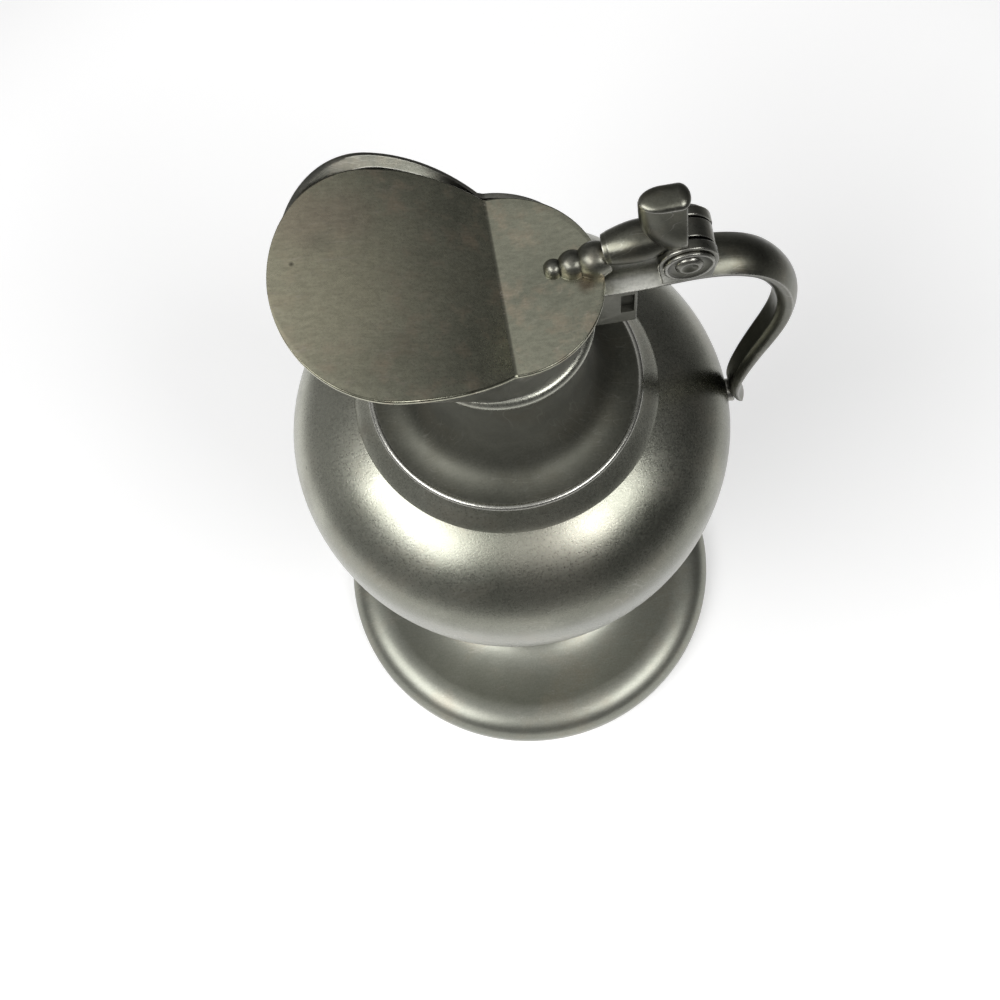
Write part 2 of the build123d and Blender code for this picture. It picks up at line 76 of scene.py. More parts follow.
# arc through three points of a plane as count points: the circle's centre solves the two chord conditions
def arcThrough(p0, p1, p2, count):
    p0, p1, p2 = np.array(p0, float), np.array(p1, float), np.array(p2, float)
    chords = 2 * np.array([p1 - p0, p2 - p0])
    centre = np.linalg.solve(chords, np.array([p1 @ p1 - p0 @ p0, p2 @ p2 - p0 @ p0]))
    radius = np.hypot(*(p0 - centre))
    a0, a1, a2 = (math.atan2(*(p - centre)[::-1]) for p in (p0, p1, p2))
    span = (a2 - a0) % (2 * math.pi)
    if (a1 - a0) % (2 * math.pi) > span:
        span -= 2 * math.pi
    a = a0 + span * np.linspace(0, 1, count)
    return centre + radius * np.stack([np.cos(a), np.sin(a)], axis=1)


# straight run as count points
def run(p0, p1, count=2):
    share = np.linspace(0, 1, count)[:, None]
    return np.array(p0, float) * (1 - share) + np.array(p1, float) * share


# cubic curve with two end points and two pull points as count points
def pulledCurve(p0, p1, p2, p3, count):
    t = np.linspace(0, 1, count)[:, None]
    p0, p1, p2, p3 = (np.array(p, float) for p in (p0, p1, p2, p3))
    return (1 - t) ** 3 * p0 + 3 * t * (1 - t) ** 2 * p1 + 3 * t**2 * (1 - t) * p2 + t**3 * p3


# smooth curve through points: cubic pieces in chord length with equal slopes and bends where they meet
def curveThrough(points, count):
    p = np.array(points, float)
    knots = np.concatenate([[0], np.cumsum(np.linalg.norm(np.diff(p, axis=0), axis=1))])
    h = np.diff(knots)[:, None]
    size = len(p)
    inner = np.arange(1, size - 1)
    system = np.eye(size)
    system[inner, inner - 1] = h[:-1, 0]
    system[inner, inner] = 2 * (h[:-1, 0] + h[1:, 0])
    system[inner, inner + 1] = h[1:, 0]
    slope = np.diff(p, axis=0) / h
    right = np.zeros_like(p)
    right[1:-1] = 3 * np.diff(slope, axis=0)
    bend = np.linalg.solve(system, right)
    start = slope - h * (2 * bend[:-1] + bend[1:]) / 3
    third = (bend[1:] - bend[:-1]) / (3 * h)
    s = np.linspace(0, knots[-1], count)
    k = np.clip(np.searchsorted(knots, s, "right") - 1, 0, size - 2)
    u = (s - knots[k])[:, None]
    return p[k] + start[k] * u + bend[k] * u**2 + third[k] * u**3


# closed outline with every corner of more than 25 degrees swapped for a short curve that touches both sides
def softCorners(line, reach, count=6):
    step = np.linalg.norm(line - np.roll(line, 1, axis=0), axis=1)
    line = line[step > 1e-6]
    back, ahead = np.roll(line, 1, axis=0) - line, np.roll(line, -1, axis=0) - line
    backLong = np.linalg.norm(back, axis=1)[:, None]
    aheadLong = np.linalg.norm(ahead, axis=1)[:, None]
    back, ahead = back / backLong, ahead / aheadLong
    sharp = -(back * ahead).sum(1) < math.cos(math.radians(25))
    cut = np.minimum(reach, 0.45 * np.minimum(backLong, aheadLong))
    t = np.linspace(0, 1, count)[None, :, None]
    start, end = (line + back * cut)[:, None], (line + ahead * cut)[:, None]
    curve = (1 - t) ** 2 * start + 2 * t * (1 - t) * line[:, None] + t**2 * end
    kept = sharp[:, None] | (np.arange(count) == 0)[None, :]
    return np.where(sharp[:, None, None], curve, line[:, None])[kept]


# surface of revolution: every point of the profile (radius, height) goes round the upright axis
def turnedPiece(name, line, turns=288, caps=False):
    a = np.linspace(0, 2 * math.pi, turns, endpoint=False)
    r = line[:, 0][:, None]
    z = np.repeat(line[:, 1][:, None], turns, axis=1)
    return gridMesh(name, np.stack([r * np.cos(a), r * np.sin(a), z], axis=-1), wrapRows=not caps, caps=caps)


# how strongly each point bends out, which gives rubbed wear and light painted along edges, and how grimy it is: how
# far the surface bends outwards or inwards there, in 1/mm, as the mean over its edges of twice the fall behind the
# tangent plane over the edge's length squared
def markWear(thing, look):
    mesh = thing.data
    count = len(mesh.vertices)
    place, normal = np.empty(count * 3), np.empty(count * 3)
    edges = np.empty(len(mesh.edges) * 2, dtype=np.int32)
    mesh.vertices.foreach_get("co", place)
    mesh.vertex_normals.foreach_get("vector", normal)
    mesh.edges.foreach_get("vertices", edges)
    place, normal, edges = place.reshape(-1, 3) / mm, normal.reshape(-1, 3), edges.reshape(-1, 2)
    i, j = edges[:, 0], edges[:, 1]
    d = place[j] - place[i]
    long2 = (d * d).sum(1) + 1e-6
    total, bend = np.full(count, 1e-9), np.zeros(count)
    np.add.at(total, i, 1.0)
    np.add.at(total, j, 1.0)
    np.add.at(bend, i, -2 * (d * normal[i]).sum(1) / long2)
    np.add.at(bend, j, 2 * (d * normal[j]).sum(1) / long2)
    bend /= total
    for turn in range(look["wearSpread"]):  # soften: half the point's own value and half its neighbours' mean
        around = np.zeros(count)
        np.add.at(around, i, bend[j])
        np.add.at(around, j, bend[i])
        bend = 0.5 * bend + 0.5 * around / total
    convexEdges = np.clip((bend - look["wearFrom"]) / (look["wearFull"] - look["wearFrom"]), 0, 1)
    grime = np.clip((-bend - look["grimeFrom"]) / (look["grimeFull"] - look["grimeFrom"]), 0, 1)
    convexEdges *= np.clip((place[:, 2] - look["wearAbove"]) / look["wearFade"], 0, 1)
    # side: how squarely a face looks to the near or far side; the cast look paints shade there
    side = np.clip((np.abs(normal[:, 1]) - look["sideFrom"]) / look["sideSpan"], 0, 1)
    for name, values in (("convexEdges", convexEdges), ("grime", grime), ("side", side)):
        mesh.attributes.new(name, "FLOAT", "POINT").data.foreach_set("value", values.astype(np.float32))


wearLook = dict(wearSpread=1, wearFrom=0.12, wearFull=0.9, wearAbove=-1.0, wearFade=0.6, grimeFrom=0.08,
                grimeFull=0.6, sideFrom=0.55, sideSpan=0.4, sharpAngle=38)


# gives a piece smooth faces, its wear and its metal, then its body and the nodes that it stands for
def finishPiece(thing, body, material, replaced, wear=wearLook):
    thing.data.polygons.foreach_set("use_smooth", np.ones(len(thing.data.polygons), dtype=bool))
    thing.data.set_sharp_from_angle(angle=math.radians(wear["sharpAngle"]))
    markWear(thing, wear)
    thing.data.materials.clear()
    thing.data.materials.append(material)
    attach(thing, body)
    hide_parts(*replaced)


# metals: each helper adds one node, links what it reads and gives back the node or its output
def addNode(tree, kind, **values):
    count = len(tree.nodes)
    node = tree.nodes.new(kind)
    node.location = (260 * (count // 8) - 2400, 900 - 260 * (count % 8))  # in columns of eight
    for key, value in values.items():
        setattr(node, key, value)
    return node


def noiseOf(tree, vector, scale, detail, roughness):
    noise = addNode(tree, "ShaderNodeTexNoise")
    for key, value in (("Scale", scale), ("Detail", detail), ("Roughness", roughness)):
        noise.inputs[key].default_value = value
    tree.links.new(vector, noise.inputs["Vector"])
    return noise.outputs["Fac"]


def turnedVector(tree, vector, angles, stretch):
    mapping = addNode(tree, "ShaderNodeMapping")
    mapping.inputs["Rotation"].default_value = [math.radians(a) for a in angles]
    mapping.inputs["Scale"].default_value = stretch
    tree.links.new(vector, mapping.inputs["Vector"])
    return mapping.outputs["Vector"]


def rampOf(tree, value, stops):
    ramp = addNode(tree, "ShaderNodeValToRGB")
    elements = ramp.color_ramp.elements
    while len(elements) < len(stops):
        elements.new(0.5)
    for element, (place, level) in zip(elements, stops):
        element.position = place
        element.color = (level, level, level, 1)
    tree.links.new(value, ramp.inputs["Fac"])
    return ramp.outputs["Color"]


def feed(tree, socket, value):
    if isinstance(value, bpy.types.NodeSocket):
        tree.links.new(value, socket)
    else:
        socket.default_value = value


def mixOf(tree, factor, first, second, blend="MIX"):
    mix = addNode(tree, "ShaderNodeMix", data_type="RGBA", blend_type=blend)
    for place, value in ((0, factor), (6, first), (7, second)):  # the sockets of the factor and the two colours
        feed(tree, mix.inputs[place], (*value, 1) if isinstance(value, tuple) else value)
    return mix.outputs[2]


def mathOf(tree, operation, *values, clamp=False):
    node = addNode(tree, "ShaderNodeMath", operation=operation, use_clamp=clamp)
    for socket, value in zip(node.inputs, values):
        feed(tree, socket, value)
    return node.outputs[0]


noiseKinds = (("cloud", 4, 0.6), ("patch", 5, 0.65), ("grain", 3, 0.7), ("wave", 2, 0.5))  # word, detail, roughness
steps = dict(  # the stops of each ramp: a value of the noise, and the level that it gives
    clouds=((0.34, 0.0), (0.66, 1.0)), thin=((0.42, 0.0), (0.56, 1.0)), broken=((0.30, 0.45), (0.62, 1.0)),
    scratch=((0.487, 0.0), (0.495, 1.0), (0.503, 0.0)), pit=((0.02, 1.0), (0.12, 0.0)), pitSpan=0.02,
    grain=((0.36, 0.3), (0.60, 1.0)), streaks=((0.36, 0.35), (0.62, 1.0)), warmFrom=0.5, warmFull=0.72)
markEdge = dict(ragged=1.6, outer=2.1, inner=1.1)  # in shares of the mark's radius


# worn pewter, from broad clouds of tarnish down to a cast grain of under a millimetre
# hair scratches are thin lines where a stretched noise passes its middle, and pits are the hearts of a few cells
def pewter(name, look, marks=()):
    material = bpy.data.materials.new(name)
    material.use_nodes = True
    tree = material.node_tree
    link = tree.links.new
    shader = tree.nodes["Principled BSDF"]
    shader.inputs["Metallic"].default_value = 1.0
    place = addNode(tree, "ShaderNodeTexCoord").outputs["Object"]

    clouds, patches, grain, waves = (
        noiseOf(tree, place, look[word + "Scale"], detail, roughness)
        for word, detail, roughness in noiseKinds)
    cloudShade = rampOf(tree, clouds, steps["clouds"])
    tone = mixOf(tree, cloudShade, look["dark"], look["light"])
    warmSteps = ((steps["warmFrom"], 0.0), (steps["warmFull"], look["warmth"]))
    tone = mixOf(tree, rampOf(tree, patches, warmSteps), tone, look["warm"])

    # hair scratches in two directions, thinned out by the patches
    lines = []
    for angles, stretch in look["scratches"]:
        along = turnedVector(tree, place, angles, (1, stretch, 1))
        passing = noiseOf(tree, along, look["scratchScale"], 1, 0.4)
        lines.append(rampOf(tree, passing, steps["scratch"]))
    both = mathOf(tree, "ADD", lines[0], lines[1], clamp=True)
    hair = mathOf(tree, "MULTIPLY", both, rampOf(tree, patches, steps["thin"]))

    # pits
    cells = addNode(tree, "ShaderNodeTexVoronoi")
    cells.inputs["Scale"].default_value = look["pitScale"]
    link(place, cells.inputs["Vector"])
    heart = rampOf(tree, cells.outputs["Distance"], steps["pit"])
    split = addNode(tree, "ShaderNodeSeparateColor")
    link(cells.outputs["Color"], split.inputs["Color"])
    fewSteps = ((look["pitShare"], 1.0), (look["pitShare"] + steps["pitSpan"], 0.0))
    few = rampOf(tree, split.outputs[0], fewSteps)
    pits = mathOf(tree, "MULTIPLY", heart, few)

    # one of the look's colours laid over the tone where a part is, by the look's share for it
    def laid(under, part, share, color):
        return mixOf(tree, mathOf(tree, "MULTIPLY", part, look[share]), under, look[color])

    # rubbed edges and edges with painted light, grimy places, painted shade on the faces that look to the near and
    # far sides, and the marks: stains, painted shade and painted highlights
    convexEdges, grime, side = (
        addNode(tree, "ShaderNodeAttribute", attribute_name=word).outputs["Fac"]
        for word in ("convexEdges", "grime", "side"))
    wornAndPaintedEdges = mathOf(tree, "MULTIPLY", convexEdges, rampOf(tree, patches, steps["broken"]))
    tone = laid(tone, side, "paintedSideShade", "tarnishAndShade")
    tone = laid(tone, grime, "grimeDark", "tarnishAndShade")
    for spot, radius, color, strength in marks:
        away = addNode(tree, "ShaderNodeVectorMath", operation="DISTANCE")
        link(place, away.inputs[0])
        away.inputs[1].default_value = [v * mm for v in spot]
        ragged = mathOf(tree, "MULTIPLY_ADD", patches, radius * mm * markEdge["ragged"], away.outputs["Value"])
        cover = addNode(tree, "ShaderNodeMapRange", interpolation_type="SMOOTHSTEP")
        link(ragged, cover.inputs["Value"])
        cover.inputs["From Min"].default_value = radius * mm * markEdge["outer"]
        cover.inputs["From Max"].default_value = radius * mm * markEdge["inner"]
        cover.inputs["To Max"].default_value = strength
        tone = mixOf(tree, cover.outputs["Result"], tone, color)
    tone = laid(tone, wornAndPaintedEdges, "edgeWearAndPaintedLight", "edge")
    tone = laid(tone, hair, "hairBright", "bright")
    tone = laid(tone, pits, "pitDark", "tarnishAndShade")

    # the grain and the faint streaks darken what is there
    grainShade = rampOf(tree, grain, steps["grain"])
    tone = mixOf(tree, look["grainTone"], tone, grainShade, "MULTIPLY")
    brushed = turnedVector(tree, place, (0, 0, look["streakTurn"]), (1, look["streakStretch"], 1))
    streaks = noiseOf(tree, brushed, look["streakScale"], 5, 0.75)
    streakShade = rampOf(tree, streaks, steps["streaks"])
    tone = mixOf(tree, look["streakTone"], tone, streakShade, "MULTIPLY")
    link(tone, shader.inputs["Base Color"])

    # roughness: patches and grain on both sides of the look's value, less where rubbed and more where grimy
    rough = mathOf(tree, "MULTIPLY_ADD", patches, look["roughSpread"], look["rough"] - 0.5 * look["roughSpread"])
    lowered = mathOf(tree, "ADD", rough, -0.5 * look["roughGrain"])
    grainy = mathOf(tree, "MULTIPLY_ADD", grain, look["roughGrain"], lowered)
    polished = mathOf(tree, "MULTIPLY_ADD", wornAndPaintedEdges, -look["wearPolish"], grainy)
    dulled = mathOf(tree, "MULTIPLY_ADD", grime, look["grimeDull"], polished, clamp=True)
    link(dulled, shader.inputs["Roughness"])

    # height in millimetres: grain, soft waves, scratches and pits
    height = mathOf(tree, "MULTIPLY", grain, look["grainHeight"])
    for part, level in ((waves, look["waveHeight"]), (patches, look["patchHeight"]), (hair, -look["hairDepth"]),
                        (pits, -look["pitDepth"])):
        height = mathOf(tree, "MULTIPLY_ADD", part, level, height)
    bump = addNode(tree, "ShaderNodeBump")
    bump.inputs["Strength"].default_value = 1.0
    bump.inputs["Distance"].default_value = mm
    link(height, bump.inputs["Height"])
    link(bump.outputs["Normal"], shader.inputs["Normal"])
    return material


bodyLook = dict(  # scales are per metre, heights and depths in millimetres
    dark=(0.28, 0.283, 0.23), light=(0.41, 0.412, 0.355), warm=(0.34, 0.305, 0.24), warmth=0.5,
    bright=(0.62, 0.61, 0.57), edge=(0.70, 0.69, 0.65), tarnishAndShade=(0.075, 0.075, 0.062),
    paintedSideShade=0.0, grimeDark=0.65, pitDark=0.8, edgeWearAndPaintedLight=0.7, hairBright=0.18, grainTone=0.26,
    streakTone=0.12, streakScale=420, streakTurn=8, streakStretch=2.6,
    cloudScale=16, patchScale=70, grainScale=1900, waveScale=260, scratchScale=75, pitScale=170, pitShare=0.04,
    scratches=(((0, 0, 25), 9), ((20, 0, -50), 7)),  # angles and stretch of each direction
    rough=0.29, roughSpread=0.12, roughGrain=0.26, wearPolish=0.05, grimeDull=0.15,
    grainHeight=0.030, waveHeight=0.008, patchHeight=0.014, hairDepth=0.002, pitDepth=0.05)
footLook = dict(
    bodyLook, dark=(0.25, 0.255, 0.218), light=(0.35, 0.355, 0.305), rough=0.37, grainTone=0.18, roughGrain=0.1,
    grainHeight=0.008)
# lid: its edge colour is dark, painted shade along the plate's rounded rims
lidLook = dict(
    bodyLook, dark=(0.46, 0.465, 0.36), light=(0.68, 0.675, 0.52), warm=(0.78, 0.65, 0.48), warmth=0.8,
    bright=(0.80, 0.74, 0.62), edge=(0.06, 0.06, 0.045), edgeWearAndPaintedLight=0.85, hairBright=0.55, streakTone=0.32,
    cloudScale=34, patchScale=150, roughGrain=0.14, grainHeight=0.008, grainTone=0.15, pitShare=0.07)
strapLook = dict(
    bodyLook, dark=(0.12, 0.12, 0.098), light=(0.19, 0.19, 0.155), edgeWearAndPaintedLight=0.3, cloudScale=60, patchScale=160,
    rough=0.36, grainHeight=0.008)
neckLook = dict(
    bodyLook, dark=(0.085, 0.086, 0.070), light=(0.15, 0.15, 0.125), warm=(0.13, 0.12, 0.09),
    bright=(0.40, 0.40, 0.36), edge=(0.40, 0.40, 0.36), edgeWearAndPaintedLight=0.3, cloudScale=30, rough=0.55,
    grainHeight=0.012)
beakLook = dict(
    bodyLook, dark=(0.11, 0.11, 0.09), light=(0.20, 0.20, 0.17), edgeWearAndPaintedLight=0.3, cloudScale=45, patchScale=120,
    rough=0.40)
# cast pieces, with painted shade on the faces that look to either side
castLook = dict(
    bodyLook, dark=(0.11, 0.11, 0.09), light=(0.21, 0.21, 0.17), warm=(0.20, 0.18, 0.13),
    tarnishAndShade=(0.05, 0.05, 0.042), paintedSideShade=0.5, edgeWearAndPaintedLight=0.32, grainTone=0.22, cloudScale=60, patchScale=160,
    waveScale=500, pitShare=0.03, rough=0.31, roughGrain=0.12, grainHeight=0.009)
bodyPaintedLight = (  # place, radius, colour and strength of each mark: painted shade on the front of the belly and on the handle's side, painted highlights just under the ring
    ((27.0, -48.0, 133.0), 28.0, (0.15, 0.152, 0.125), 0.7),
    ((-8.0, -52.0, 134.0), 20.0, (0.19, 0.192, 0.157), 0.5),
    ((-38.0, -41.0, 122.0), 22.0, (0.19, 0.192, 0.157), 0.45),
    ((57.0, -4.0, 128.0), 30.0, (0.16, 0.16, 0.13), 0.65),
    ((-46.0, 0.0, 146.0), 22.0, (0.58, 0.58, 0.49), 0.65),
    ((6.0, -44.0, 147.0), 14.0, (0.52, 0.50, 0.42), 0.6),
)
lidStainsAndPaintedLight = (
    # the first mark is painted light that pales the front of the plate; the others are stains
    ((-44.0, 0.0, 227.5), 32.0, (0.80, 0.745, 0.53), 0.6),
    ((20.0, -4.4, 211.5), 2.4, (0.16, 0.10, 0.06), 0.7),
    ((-38.0, 13.6, 226.5), 8.0, (0.62, 0.52, 0.40), 0.5),
    ((-28.7, 14.0, 224.6), 7.0, (0.62, 0.53, 0.415), 0.45),
    ((-33.6, 8.4, 225.7), 4.0, (0.42, 0.41, 0.32), 0.35),
    ((-21.5, -18.0, 222.5), 5.0, (0.43, 0.425, 0.32), 0.35),
)
castPaintedHighlight = (((32.0, -4.2, 208.0), 6.5, (0.66, 0.66, 0.60), 1.0),)  # a painted highlight on the top of the handle, by the hinge
pewterBody = pewter("pewterBody", bodyLook, bodyPaintedLight)
pewterFoot = pewter("pewterFoot", footLook)
pewterLid = pewter("pewterLid", lidLook, lidStainsAndPaintedLight)
pewterStrap = pewter("pewterStrap", strapLook)
pewterNeck = pewter("pewterNeck", neckLook)
pewterBeak = pewter("pewterBeak", beakLook)
pewterCast = pewter("pewterCast", castLook, castPaintedHighlight)
print("metals made")


# foot: a broad rounded edge, a nearly level brow and a stem that rises from it, with an open underside

foot = dict(radius=57.48, edge=2.3, leastEdge=0.4, brow=46.6, browHeight=9.3, pull=(29.0, 9.5),
            pullUp=(18.6, 12.0), top=18.4, height=52.0, wall=2.4, lip=0.5, corner=0.4)


# outer or inner line of the foot: a quarter of an oval over the edge, then a cubic curve up to the stem
def bellLine(inset):
    edgeZ = max(foot["edge"] - 0.5 * inset, foot["leastEdge"])
    browZ = foot["browHeight"] - inset
    a = np.linspace(0, math.pi / 2, 46)
    edge = np.stack([foot["brow"] + (foot["radius"] - inset - foot["brow"]) * np.cos(a),
                     edgeZ + (browZ - edgeZ) * np.sin(a)], axis=1)
    pull, pullUp = foot["pull"], foot["pullUp"]
    rise = pulledCurve((foot["brow"], browZ), (pull[0] - 0.4 * inset, pull[1] - inset),
                       (pullUp[0] - inset, pullUp[1] - inset), (foot["top"] - inset, foot["height"]), 80)
    return np.vstack([edge, rise[1:]])


footBase = np.vstack([run((foot["radius"] - foot["wall"], 0.0), (foot["radius"] - foot["lip"], 0.0), 6),
                      arcThrough((foot["radius"] - foot["lip"], 0.0),
                                 (foot["radius"] - 0.3 * foot["lip"], 0.3 * foot["lip"]),
                                 (foot["radius"], foot["lip"]), 6)])
footLine = softCorners(np.vstack([footBase, bellLine(0), bellLine(foot["wall"])[::-1]]), foot["corner"])
finishPiece(turnedPiece("footShell", footLine), "pitcher", pewterFoot, ["foot"])


# body: an oval below the belly line, a fuller curve above it, and a wall that follows inside

belly = dict(radius=56.9, height=125.5, below=65.5, above=32.6, fullness=0.93, wall=2.4, mouth=31.0)


# half outline: radius times cosine and depth times sine of an angle, above with both to the power of the fullness
def ovalLine(inset):
    radius = belly["radius"] - inset
    low = np.linspace(-math.pi / 2, 0, 85)[1:]
    under = np.stack([radius * np.cos(low), belly["height"] + (belly["below"] - inset) * np.sin(low)], axis=1)
    stop = math.acos((belly["mouth"] / radius) ** (1 / belly["fullness"]))
    high = np.linspace(0, stop, 66)[1:]
    over = np.stack([radius * np.cos(high) ** belly["fullness"],
                     belly["height"] + (belly["above"] - inset) * np.sin(high) ** belly["fullness"]], axis=1)
    return np.vstack([under, over])


bodyPiece = turnedPiece("bodyShell", np.vstack([ovalLine(0), ovalLine(belly["wall"])[::-1]]), turns=320, caps=True)
finishPiece(bodyPiece, "pitcher", pewterBody,
            ["body_bowl", "body_flank", "body_lower", "body_upper"])


# collar: a turned ring that swells between the foot and the body's bottom

collar = dict(bore=16.0, low=52.0, foot=18.4, middle=22.4, middleHeight=58.7, top=66.5, topRadius=20.6, sunk=0.3,
              step=0.3)


# outline: an arc through three points up to the body's oval, a little sunk into it, and along the oval to the bore
def collarLine():
    def underBody(radius):
        return belly["height"] - belly["below"] * np.sqrt(1 - (radius / belly["radius"]) ** 2) + collar["sunk"]

    side = arcThrough((collar["foot"], collar["low"]), (collar["middle"], collar["middleHeight"]),
                      (collar["topRadius"], collar["top"]), 40)
    side = side[side[:, 1] < underBody(side[:, 0])]
    meet = np.linspace(side[-1, 0], collar["bore"], 8)[1:]
    base = run((collar["bore"], collar["low"]), (collar["foot"] - collar["step"], collar["low"]), 3)
    return np.vstack([base, side, np.stack([meet, underBody(meet)], axis=1)])


finishPiece(turnedPiece("stemCollar", collarLine()), "pitcher", pewterBody, ["stem_collar"])


# shoulder ring: a steep plain band and a fine crest

ring = dict(radius=38.0, seat=149.6, lip=150.4, pull=(37.9, 151.6), pullUp=(35.0, 154.6), crestRadius=33.2,
            crest=156.9, bead=0.8, peak=(0.26, 0.06), bore=31.0, corner=0.15)


# outline: a level seat, a cubic curve for the band, an arc through three points for the crest, and a level top
def ringLine():
    crestFoot = (ring["crestRadius"] + ring["bead"], ring["crest"] - ring["bead"])
    crestPeak = (ring["crestRadius"] + ring["peak"][0], ring["crest"] + ring["peak"][1])
    crestEnd = (ring["crestRadius"] - ring["bead"], ring["crest"])
    edge = run((ring["bore"], ring["seat"]), (ring["radius"], ring["seat"]), 4)
    band = pulledCurve((ring["radius"], ring["lip"]), ring["pull"], ring["pullUp"], crestFoot, 30)
    crest = arcThrough(crestFoot, crestPeak, crestEnd, 14)
    back = run(crestEnd, (ring["bore"], ring["crest"]), 3)
    return softCorners(np.vstack([edge, band, crest[1:], back[1:]]), ring["corner"])


# the wear kept to the crest lays a bright line along it: partly rubbed metal, partly a painted highlight
finishPiece(turnedPiece("shoulderRing", ringLine()), "pitcher", pewterBody, ["shoulder_ring"],
            dict(wearLook, wearFrom=0.04, wearFull=0.35, wearAbove=155.9))
print("foot, collar, body and ring made")


# lid surface: level behind the kink, and in front of it a rise that starts steep and flattens

lid = dict(top=211.5, thick=1.4, gap=0.3, rearRadius=21.6, rearShift=2.5, kink=1.2, kinkStep=0.25, angle=32.0,
           ease=0.0062, shieldCentre=22.7, halfWidth=27.8, front=24.2, turned=0.6, aside=1.5, edge=0.45, band=2.2,
           bandFall=0.11)
hinge = dict(x=42.0, z=214.3, radius=6.7, width=10.8, ear=2.6, earEdge=0.45, knuckle=6.5, knuckleWidth=4.6, gap=0.35,
             bore=2.05, corner=0.35, footHalf=5.6, footDrop=7.9, free=7.02, sink=0.15, blend=0.2)
knuckleMiddle = hinge["width"] / 2 - hinge["ear"] - hinge["gap"] - hinge["knuckleWidth"] / 2


# height over the level rear: the angle's tangent times the way ahead of the kink, less ease times its square
def lidRise(x):
    ahead = np.maximum(lid["kink"] - x, 0)
    return math.tan(math.radians(lid["angle"])) * ahead - lid["ease"] * ahead**2


# half the lid's width at x: a circle behind the kink, two halves of different ovals in front of it
def lidHalfWidth(x):
    rear = np.sqrt(np.maximum(lid["rearRadius"] ** 2 - (x - lid["rearShift"]) ** 2, 0))
    rearHalf = math.sqrt(lid["rearRadius"] ** 2 - (lid["kink"] - lid["rearShift"]) ** 2)
    back = (lid["shieldCentre"] + lid["kink"]) / math.sqrt(1 - (rearHalf / lid["halfWidth"]) ** 2)
    length = np.where(x < -lid["shieldCentre"], lid["front"], back)
    shield = lid["halfWidth"] * np.sqrt(np.maximum(1 - ((x + lid["shieldCentre"]) / length) ** 2, 0))
    return np.where(x > lid["kink"], rear, shield)


# turns points by a small angle about the upright line through the hinge, and moves them aside
def setAside(points):
    a = math.radians(lid["turned"])
    x, y = points[..., 0] - hinge["x"], points[..., 1]
    return np.stack([hinge["x"] + x * math.cos(a) - y * math.sin(a),
                     x * math.sin(a) + y * math.cos(a) - lid["aside"], points[..., 2]], axis=-1)


# lid plate: rows run along the length, closer near both ends, and each row is a rounded strip across
def lidPoints():
    frontEnd = -lid["shieldCentre"] - lid["front"]
    rearEnd = lid["rearShift"] + lid["rearRadius"]
    ahead, behind = lid["kink"] - lid["kinkStep"], lid["kink"] + lid["kinkStep"]
    a = np.linspace(0, 1, 90)[1:]
    front = frontEnd + (ahead - frontEnd) * a**2 * (2 - a) ** 2
    rear = behind + (rearEnd - behind) * np.sin(a * math.pi / 2)
    x = np.concatenate([front, [behind], rear[:-1]])
    half = lidHalfWidth(x)
    e = np.minimum(lid["edge"], 0.6 * half)[:, None]
    across = np.sin(np.linspace(-math.pi / 2, math.pi / 2, 61))[None, :]
    corner = np.linspace(0, math.pi / 2, 7)[None, 1:]
    width = half[:, None] - e
    outward = width + e * np.sin(corner)
    fall = lid["edge"] * (np.cos(corner[0]) - 1)
    y = np.hstack([-outward[:, ::-1], width * across, outward, outward[:, ::-1], -width * across, -outward])
    topFall = np.concatenate([fall[::-1], np.zeros(61), fall])
    down = np.concatenate([topFall, -lid["thick"] - topFall])
    band = np.clip((np.abs(y) - half[:, None]) / lid["band"] + 1, 0, 1) * lid["bandFall"]
    band[:, len(topFall):] = 0  # the faint slope along the edge is on the top only
    z = lid["top"] + lidRise(x)[:, None] + down[None, :] - band
    return setAside(np.stack([np.repeat(x[:, None], y.shape[1], axis=1), y, z], axis=-1))


finishPiece(gridMesh("lidPlate", lidPoints(), caps=True), "lid", pewterLid, ["lid_plate"])


# pushes points out of the hinge's own room: in the middle down to the knuckle, beside it clear of the ears
def clearOfHinge(points):
    dx, dz = points[..., 0] - hinge["x"], points[..., 2] - hinge["z"]
    away = np.maximum(np.hypot(dx, dz), 1e-6)
    past = np.abs(points[..., 1] - knuckleMiddle) - hinge["knuckleWidth"] / 2
    beside = np.clip((past + hinge["blend"] / 2) / hinge["blend"], 0, 1)
    room = hinge["knuckle"] - hinge["sink"] + (hinge["free"] - hinge["knuckle"] + hinge["sink"]) * beside
    push = np.maximum(room / away, 1)
    return np.stack([hinge["x"] + dx * push, points[..., 1], hinge["z"] + dz * push], axis=-1)


# revolved form along a climbing axis: every point of the line (distance along, radius) goes round it
def climbing(line, start, slope, cols):
    a = np.linspace(0, 2 * math.pi, cols, endpoint=False)[None, :]
    along, r = line[:, :1], line[:, 1:]
    up, t = r * np.cos(a), math.radians(slope)
    return np.stack([start[0] + along * math.cos(t) - up * math.sin(t), start[1] + r * np.sin(a),
                     start[2] + along * math.sin(t) + up * math.cos(t)], axis=-1)


# strap on the lid: three drop-shaped lobes that grow and climb toward the hinge, sunk into the plate,
# with a thin flare of solder where they meet it
strap = dict(tip=11.4, slope=9.0, lengths=(3.4, 4.6, 5.4), crests=(2.2, 3.2, 4.0), grooves=(1.7, 2.7, 3.5),
             crestShare=0.6, flare=0.4, flareHeight=0.4, tail=(1.0, -0.3), sunk=0.25)


